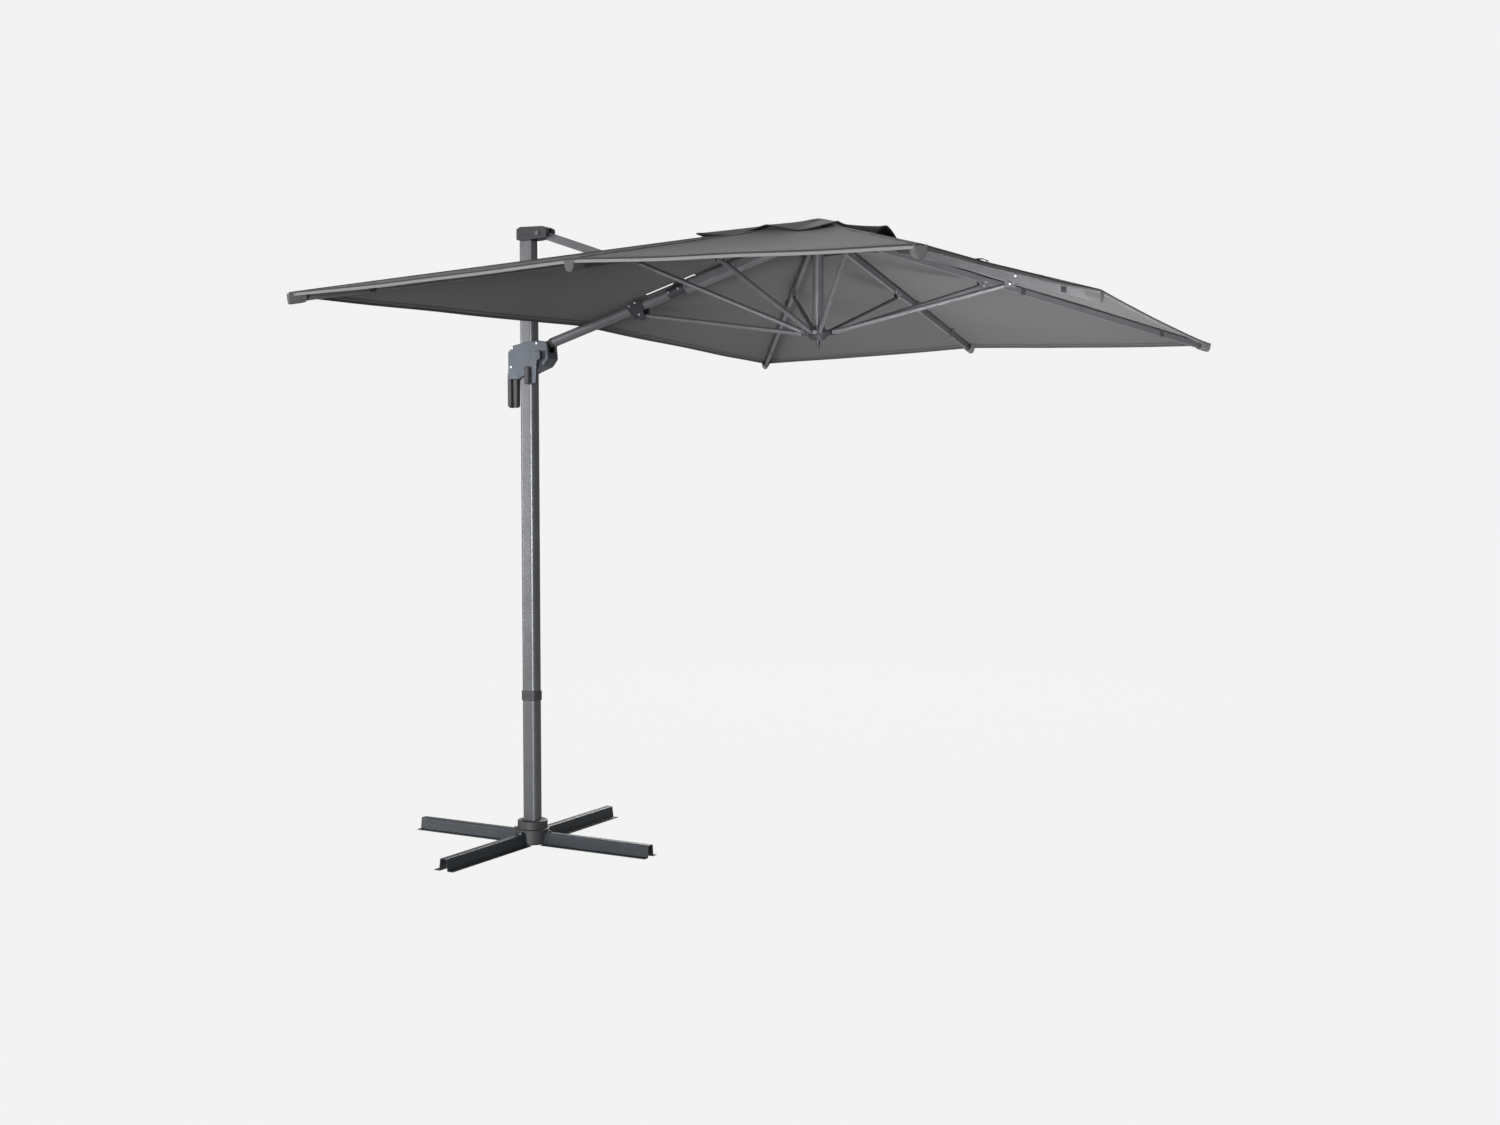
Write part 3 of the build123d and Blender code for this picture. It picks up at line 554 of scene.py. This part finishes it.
def cap_point(rib):
    """The vent cap over one rib: low between the ribs and standing up over the rib at its hem."""
    lobe = CAP_LOBE_OUTER if NAMES[rib] == "outer" else CAP_LOBE

    def surface(side, share):
        rise = (share / CAP_SHARE) ** 2
        edge = CAP_TOUCH + lobe * math.cos(side * math.pi / 2) ** 1.4
        return cloth_point(rib, side, share, CAP_LIFT * (1 - rise) + edge * rise)

    return surface


def add_cap_panel(rib):
    surface = cap_point(rib)
    shares = spread(CAP_START / plan_reach(tips[rib]), CAP_SHARE, 14)
    rows = [[surface(side, share) for side in spread(-1, 1, 20)] for share in shares]
    settle(sheet(f"vent_panel_{NAMES[rib]}", rows, CLOTH, shaded_cap_cloth, uv=in_metres(rib)), rib)
    add_hem(f"vent_hem_{NAMES[rib]}", rib, CAP_HEM_SECTION, surface, CAP_SHARE, webbing, count=20)


def add_crown():
    """The round patch on the peak, which covers the meeting of the cap's panels."""
    rows = []
    ring = [Vector((math.cos(a), math.sin(a), 0)) for a in spread(0, 2 * math.pi, 48)]
    for radius in spread(CROWN_HOLE, CROWN_RADIUS, 8):
        drop = CROWN_SLOPE * radius + CROWN_CURVE * radius**2
        rows.append([peak + UP * (CAP_LIFT + CROWN_LIFT - drop) + direction * radius for direction in ring])
    crown = sheet("vent_crown", rows, CLOTH, shaded_cap_cloth)
    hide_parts("vent_cap")
    fixed(crown, "canopy_hub")


# ---------------------------------------------------------------- pockets, ties and straps
# distance back from the hem, as a share of the pocket's length, and the share of its depth there
POCKET_ROWS = ((1, 0.96), (0.8, 1), (0.5, 1), (0.2, 1), (0, 1), (-0.045, 0.94), (-0.06, 0.55), (-0.05, 0.12))


def add_pocket(rib):
    """The sleeve under the hem that a rib's end sits in."""
    out, across = heading(rib)
    end, half_width, half_height = rib_end(rib)
    reach = plan_reach(tips[rib])
    depth = tips[rib].z - end.z + half_height + 0.003
    wide = half_width + POCKET_FLARE
    half = [
        (wide, 0.002), (half_width + 0.007, 0.35 * depth), (half_width + 0.003, 0.8 * depth),
        (half_width * 0.7, depth), (0.0, depth + 0.001),
    ]
    profile = [(-a, b) for a, b in half] + [(a, b) for a, b in reversed(half[:-1])]
    rows = []
    for back, shrink in POCKET_ROWS:
        distance = back * POCKET_LENGTH
        top = cloth_point(rib, 0, min(1 - distance / reach, 1)) + out * max(-distance, 0)
        flare = 1 + 0.25 * max(back, 0)
        rows.append([top + across * a * flare - UP * b * shrink for a, b in profile])
    pocket = sheet(f"pocket_{NAMES[rib]}", rows, CLOTH, pocket_cloth, smooth=1, offset=0.0)
    fixed(pocket, BODY[NAMES[rib]])


def add_ties(rib):
    """Webbing loops that hold the cloth to the rib."""
    _, across = heading(rib)
    end, half_width, half_height = rib_end(rib)
    hinge = pivots[f"rib_{NAMES[rib]}_fold"]
    reach = plan_reach(end)
    radii = [TIE_RADII[0], reach - TIE_RADII[1]]
    if radii[1] - radii[0] < TIE_CLEAR:
        radii = radii[:1]
    for number, radius in enumerate(radii, 1):
        rows = []
        for shift in (-TIE_HALF, 0, TIE_HALF):
            share = (radius + shift - plan_reach(hinge)) / (reach - plan_reach(hinge))
            centre = hinge.lerp(end, share)
            top = cloth_point(rib, 0, (radius + shift) / reach).z - centre.z - 0.003
            half = [
                (half_width + 0.012, top), (half_width + 0.003, top - 0.002),
                (half_width, half_height * 0.5), (half_width, -half_height * 0.7),
                (half_width * 0.8, -half_height),
            ]
            loop = [(-a, b) for a, b in half] + [(a, b) for a, b in reversed(half)]
            rows.append([centre + across * a + UP * b for a, b in loop])
        tie = sheet(f"tie_{NAMES[rib]}_{number}", rows, WEBBING, webbing, smooth=1, offset=0.0)
        fixed(tie, BODY[NAMES[rib]])


def add_closing_strap():
    """The tab that ties the closed canopy, sewn to the hem between the outer left rib and the outer one."""
    rib = NAMES.index("outer_left")
    edge = cloth_point(rib, STRAP_SIDE, 1)
    path = [
        (-0.045, 0.0025), (-0.02, 0.003), (-0.004, 0.0045), (0.008, 0.006), (0.018, 0.004), (0.021, 0.001),
    ]
    rows = [
        [edge + Vector((outward, along, STRAP_SLOPE * min(-outward, 0) + height)) for outward, height in path]
        for along in (-STRAP_HALF, -STRAP_HALF / 2, 0, STRAP_HALF / 2, STRAP_HALF)
    ]
    settle(sheet("closing_strap", rows, WEBBING, webbing, smooth=1, offset=0.0), rib)


def add_slit_binding():
    """Tape round the slit that the upper link comes down through."""
    low, high = slit
    outline = [(1, share) for share in spread(low, high, 10)]
    outline += [(-1, share) for share in spread(high, low, 10)]
    outline.append(outline[0])
    rows = []
    for grow in (0.0, SLIT_BINDING / 2, SLIT_BINDING):
        row = []
        for sign, share in outline:
            beyond = {low: -grow, high: grow}.get(share, 0.0) / HALF_X
            row.append(near_rib(inner, sign * (CENTRE_STRIP + grow), share + beyond, BINDING_LIFT))
        rows.append(row)
    # the binding takes the hem lip's lighter grey, a painted highlight
    settle(sheet("slit_binding", rows, TAPE, edge_highlight_tape, offset=0.0), inner)


# ---------------------------------------------------------------- bright rivets on the rib brackets
def dome_points(centre, axis, radius, height, rings=5, around=16):
    """Rings of points over a low dome, from its foot to its top."""
    first = axis.orthogonal().normalized()
    second = axis.cross(first)
    rows = []
    for k in range(rings + 1):
        angle = k / rings * math.pi / 2
        ring = []
        for turn in spread(0, 2 * math.pi, around):
            ring.append(
                centre + axis * height * math.sin(angle)
                + (first * math.cos(turn) + second * math.sin(turn)) * radius * max(math.cos(angle), 0.02)
            )
        rows.append(ring)
    return rows


def add_rivets(rib, radius=0.0052, height=0.0022):
    """Two domed rivets on each cheek of the bracket where a strut meets its rib."""
    name = NAMES[rib]
    _, across = heading(rib)
    pivot = pivots[f"strut_{name}_fold"]
    end, half_width, _ = rib_end(rib)
    slope = (end - pivots[f"rib_{name}_fold"]).normalized()
    reach = 0.030 if name == "outer" else 0.016
    points, faces = [], []
    for sign in (-1, 1):
        for along, up in ((0, 0), (reach * 0.6, reach)):
            face = half_width - 0.002 + (0.0036 if not up else 0.0019)
            centre = pivot + slope * along + UP * up + across * sign * face
            rows = dome_points(centre, across * sign, radius, height)
            start = len(points)
            columns = len(rows[0])
            points += [point for row in rows for point in row]
            for r in range(len(rows) - 1):
                for c in range(columns - 1):
                    a = start + r * columns + c
                    faces.append((a, a + 1, a + columns + 1, a + columns))
    piece = mesh_object(f"rivets_{name}", points, faces, [(p.x, p.z) for p in points])
    piece.data.materials.append(bright_steel)
    fixed(piece, BODY[name])


for rib, name in enumerate(NAMES):
    add_panel(rib)
    add_hem(
        f"hem_{name}", rib, HEM_SECTION, lambda side, share: cloth_point(rib, side, share), 1.0, hem_cloth,
        (edge_highlight_tape, LIP_ROWS),
    )
    add_cap_panel(rib)
    if name == "inner":
        add_rib_tape("seam_inner_low", rib, slit[1] + INNER_TAPE_GAP, INNER_TAPE_END, 10)
        add_rib_tape("seam_inner_high", rib, VENT_SHARE, slit[0] - INNER_TAPE_GAP, 12)
    else:
        add_rib_tape(f"seam_{name}", rib, VENT_SHARE, RIB_TAPE_END)
        add_pocket(rib)
        add_ties(rib)
        add_rivets(rib)
add_crown()
add_closing_strap()
add_slit_binding()

# ---------------------------------------------------------------- floor and backdrop
STAGE_FLAT = 12.0
STAGE_CURVE = 8.0
PALE = (0.871, 0.871, 0.871, 1.0)
SEEN_GLOW = 1.03  # the stage's own light as the camera sees it, and as the object gets it
CAST_GLOW = 0.42
GLOW_SHARE = 0.995  # the rest of the stage's surface takes light and shadow


def add_stage():
    """A flat floor that curves up into a wall all round."""
    profile = [(0.0, 0.0), (STAGE_FLAT / 2, 0.0)]
    for angle in spread(0, math.pi / 2, 16):
        profile.append((STAGE_FLAT + STAGE_CURVE * math.sin(angle), STAGE_CURVE * (1 - math.cos(angle))))
    profile.append((STAGE_FLAT + STAGE_CURVE, 3 * STAGE_CURVE))
    rows = []
    for radius, height in profile:
        turns = spread(0, math.tau, 64)
        rows.append([Vector((math.cos(a) * radius, math.sin(a) * radius, height)) for a in turns])
    material, tree, shader = new_material("stage")
    shader.inputs["Base Color"].default_value = PALE
    shader.inputs["Roughness"].default_value = 0.9
    seen = add(tree, "ShaderNodeLightPath").outputs["Is Camera Ray"]
    strength = remap(tree, seen, 0.0, 1.0, CAST_GLOW, SEEN_GLOW)
    lit = add(tree, "ShaderNodeEmission", inputs={"Color": PALE, "Strength": strength})
    layers = {0: GLOW_SHARE, 1: shader.outputs[0], 2: lit.outputs[0]}
    blend = add(tree, "ShaderNodeMixShader", inputs=layers)
    tree.links.new(blend.outputs[0], tree.nodes["Material Output"].inputs["Surface"])
    floor = sheet("studio_floor", rows, 0.01, material)


def add_area(name, place, size, power, target, spread_angle):
    data = bpy.data.lights.new(name, "AREA")
    data.shape = "RECTANGLE"
    data.spread = math.radians(spread_angle)
    data.size, data.size_y = size
    data.energy = power
    lamp = bpy.data.objects.new(name, data)
    lamp.location = place
    lamp.rotation_euler = (Vector(target) - Vector(place)).to_track_quat("-Z", "Y").to_euler()
    bpy.context.scene.collection.objects.link(lamp)


# name: place, size, watts, what it points at, and how wide it spreads in degrees
LAMPS = {
    "key": ((1.6, -7.6, 1.1), (2.4, 2.0), 600, (1.2, 0.0, 1.6), 180),
    "left fill": ((-4.5, -4.0, 1.6), (0.8, 3.0), 165, (0.2, 0.0, 1.0), 180),
    "bounce under the far side": ((2.4, -1.0, 0.25), (1.2, 0.8), 34, (1.8, 1.0, 2.1), 70),
    "top": ((0.8, 0.0, 6.5), (4.0, 4.0), 6, (0.8, 0.0, 0.0), 180),
    "back": ((-1.5, 6.5, 3.9), (3.5, 1.5), 420, (0.8, 0.0, 1.9), 180),
}
add_stage()
for lamp_name, lamp in LAMPS.items():
    add_area(lamp_name, *lamp)

world = bpy.data.worlds.new("studio")
bpy.context.scene.world = world
world.use_nodes = True
world.node_tree.nodes["Background"].inputs["Color"].default_value = (1.0, 1.0, 1.0, 1.0)
world.node_tree.nodes["Background"].inputs["Strength"].default_value = 0.10
bpy.context.scene.view_settings.view_transform = "Standard"

# ---------------------------------------------------------------- camera
CAMERA_AZIMUTH = math.radians(28.412)
CAMERA_ELEVATION = math.radians(2.783)
CAMERA_DISTANCE = 5.72
CAMERA_LENS = 38.386
CAMERA_TARGET = Vector((0.962, 0.0, 1.112))
back = Vector((
    math.sin(CAMERA_AZIMUTH) * math.cos(CAMERA_ELEVATION),
    -math.cos(CAMERA_AZIMUTH) * math.cos(CAMERA_ELEVATION),
    math.sin(CAMERA_ELEVATION),
))
camera = bpy.data.objects.new("camera", bpy.data.cameras.new("camera"))
camera.data.lens = CAMERA_LENS
camera.data.sensor_width = 36.0
camera.location = CAMERA_TARGET + back * CAMERA_DISTANCE
camera.rotation_euler = (-back).to_track_quat("-Z", "Y").to_euler()
bpy.context.scene.collection.objects.link(camera)
bpy.context.scene.camera = camera
